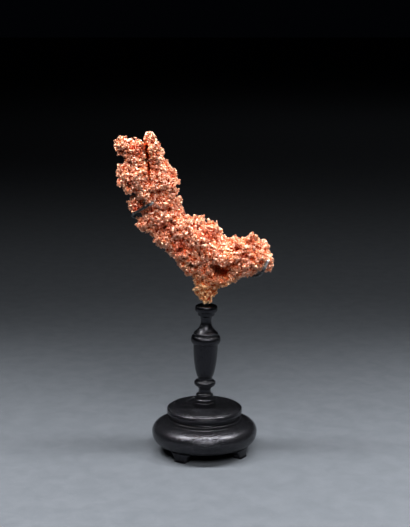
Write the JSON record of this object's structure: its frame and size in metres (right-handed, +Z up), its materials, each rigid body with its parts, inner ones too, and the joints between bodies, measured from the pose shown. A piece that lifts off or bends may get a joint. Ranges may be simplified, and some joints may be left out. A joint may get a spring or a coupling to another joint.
{
  "type": "native copper nugget on a display stand",
  "caption": "Knobbly native copper nugget held by steel claws on a turned, ebonised wooden display stand with bracket feet.",
  "frame": {"origin": "centre of the footprint box of the whole object, at floor level under the feet", "axes": "+Z up along the stand, +X towards the nugget's short arm, -Y is the front"},
  "size_m": [0.1308, 0.088, 0.2691],
  "materials": {
    "copper": "rough, hackly, bright metallic",
    "blackened_steel": "satin black, worn grey on its high sides",
    "ebonised_wood": "satin black lacquer over open grain"
  },
  "bodies": {
    "root": {"nugget": "copper", "support_rod": "blackened_steel", "left_claw": "blackened_steel", "right_claw": "blackened_steel", "post": "ebonised_wood", "platform": "ebonised_wood", "base_ring": "ebonised_wood", "foot_1": "ebonised_wood", "foot_2": "ebonised_wood", "foot_3": "ebonised_wood", "foot_4": "ebonised_wood"}
  },
  "joints": []
}
